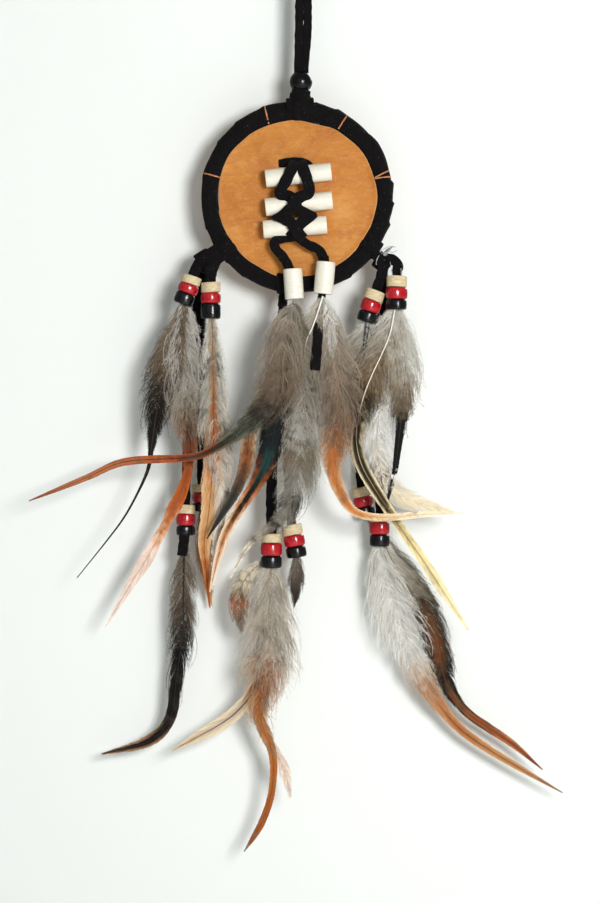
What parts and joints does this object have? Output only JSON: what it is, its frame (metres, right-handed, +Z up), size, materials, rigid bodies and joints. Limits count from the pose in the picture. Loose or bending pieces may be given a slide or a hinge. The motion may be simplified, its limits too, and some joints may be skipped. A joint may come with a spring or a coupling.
{
  "type": "dream catcher",
  "caption": "Hanging dream catcher: a suede-wrapped hoop holds a tan leather shield laced with bone pipes, and beaded lace pairs with long feathers swing below it.",
  "frame": {"origin": "inner top of the hanging loop, where a peg or nail bears", "axes": "+Z up, -Y is the front that carries the bone pipes, +X is to the right seen from the front"},
  "size_m": [0.2217, 0.0306, 0.393],
  "materials": {
    "suede": "black suede, matte with a short nap",
    "tan_leather": "tan leather, smooth grain with mottling and creases, matte",
    "ring_wire": "plain steel wire, hidden in the wrap",
    "thread": "copper-brown waxed thread",
    "bone": null,
    "loop_bead": "glossy black",
    "wood_bead": "pale cream wood, matte",
    "red_bead": null,
    "black_bead": null,
    "pale_feather": null,
    "grey_feather": null,
    "dark_feather": null,
    "tan_feather": null
  },
  "bodies": {
    "hanger": {"hanging_loop": "suede"},
    "loop_bead": {"loop_bead": "loop_bead"},
    "neck": {"loop_neck": "suede"},
    "shield": {"hoop_ring": "ring_wire", "hoop_wrap": "suede", "rim_loops": "suede", "hanger_knot": "suede", "shield_leather": "tan_leather", "shield_stitches": "thread", "bone_pipe_upper": "bone", "bone_pipe_middle": "bone", "bone_pipe_lower": "bone", "breastplate_lace": "suede"},
    "drop_sling": {"drop_sling": "suede"},
    "drop_left": {"bone_drop_left": "bone", "drop_left_lace": "suede", "feather_drop_left_black": "dark_feather", "feather_drop_left_grey": "grey_feather", "feather_drop_left_sweeping": "grey_feather"},
    "drop_right": {"bone_drop_right": "bone", "drop_right_lace": "suede", "feather_drop_right_hackle": "tan_feather", "feather_drop_right_pale": "pale_feather"},
    "left_knot": {"left_knot": "suede"},
    "right_knot": {"right_knot": "suede"},
    "center_knot": {"center_knot": "suede"},
    "left_short": {"left_short_laces": "suede", "left_short_wood_beads": "wood_bead", "left_short_red_beads": "red_bead", "left_short_black_beads": "black_bead", "feather_left_short_inner_grey": "pale_feather", "feather_left_short_inner_tan": "tan_feather", "feather_left_short_outer_dark": "dark_feather", "feather_left_short_outer_pink": "tan_feather"},
    "left_long": {"left_long_laces": "suede", "left_long_wood_beads": "wood_bead", "left_long_red_beads": "red_bead", "left_long_black_beads": "black_bead", "feather_left_long_inner": "tan_feather", "feather_left_long_outer": "dark_feather"},
    "right_short": {"right_short_laces": "suede", "right_short_wood_beads": "wood_bead", "right_short_red_beads": "red_bead", "right_short_black_beads": "black_bead", "feather_right_short_inner": "grey_feather", "feather_right_short_outer_black": "dark_feather", "feather_right_short_outer_hackle": "tan_feather"},
    "right_long": {"right_long_laces": "suede", "right_long_wood_beads": "wood_bead", "right_long_red_beads": "red_bead", "right_long_black_beads": "black_bead", "feather_right_long_dark": "dark_feather", "feather_right_long_white": "pale_feather"},
    "center_long": {"center_long_laces": "suede", "center_long_wood_beads": "wood_bead", "center_long_red_beads": "red_bead", "center_long_black_beads": "black_bead", "feather_center_long_grey": "grey_feather", "feather_center_long_shaft": "tan_feather", "feather_center_long_small": "dark_feather"}
  },
  "joints": [
    {"name": "bead_slide", "type": "slide", "parent": "hanger", "child": "loop_bead", "axis": [0, 0, 1], "range_m": [0, 0.03]},
    {"name": "shield_twist", "type": "hinge", "parent": "hanger", "child": "neck", "pos_m": [0, 0, -0.0739], "axis": [0, 0, 1], "range_deg": [-90, 90]},
    {"name": "shield_tilt", "type": "hinge", "parent": "neck", "child": "shield", "pos_m": [0, 0, -0.0757], "axis": [1, 0, 0], "range_deg": [-20, 20]},
    {"name": "drops_lift", "type": "hinge", "parent": "shield", "child": "drop_sling", "pos_m": [-0.0022, -0.007, -0.137], "axis": [1, 0, 0], "range_deg": [-40, 0]},
    {"name": "drop_left_swing", "type": "hinge", "parent": "drop_sling", "child": "drop_left", "pos_m": [-0.0066, -0.0092, -0.1454], "axis": [0, 1, 0], "range_deg": [-6, 30]},
    {"name": "drop_right_swing", "type": "hinge", "parent": "drop_sling", "child": "drop_right", "pos_m": [0.0099, -0.0092, -0.143], "axis": [0, 1, 0], "range_deg": [-30, 6]},
    {"name": "left_lift", "type": "hinge", "parent": "shield", "child": "left_knot", "pos_m": [-0.04, 0.0024, -0.1445], "axis": [1, 0, 0], "range_deg": [0, 35]},
    {"name": "left_short_swing", "type": "hinge", "parent": "left_knot", "child": "left_short", "pos_m": [-0.0426, -0.0035, -0.146], "axis": [0, 1, 0], "range_deg": [-8, 25]},
    {"name": "left_long_swing", "type": "hinge", "parent": "left_knot", "child": "left_long", "pos_m": [-0.0415, 0.0094, -0.1455], "axis": [0, 1, 0], "range_deg": [-12, 15]},
    {"name": "right_lift", "type": "hinge", "parent": "shield", "child": "right_knot", "pos_m": [0.035, 0.0024, -0.146], "axis": [1, 0, 0], "range_deg": [0, 35]},
    {"name": "right_short_swing", "type": "hinge", "parent": "right_knot", "child": "right_short", "pos_m": [0.034, -0.0035, -0.147], "axis": [0, 1, 0], "range_deg": [-25, 8]},
    {"name": "right_long_swing", "type": "hinge", "parent": "right_knot", "child": "right_long", "pos_m": [0.0345, 0.0102, -0.147], "axis": [0, 1, 0], "range_deg": [-15, 12]},
    {"name": "center_lift", "type": "hinge", "parent": "shield", "child": "center_knot", "pos_m": [-0.0075, 0, -0.1612], "axis": [1, 0, 0], "range_deg": [0, 35]},
    {"name": "center_long_swing", "type": "hinge", "parent": "center_knot", "child": "center_long", "pos_m": [-0.0075, 0, -0.1654], "axis": [0, 1, 0], "range_deg": [-8, 8]}
  ]
}
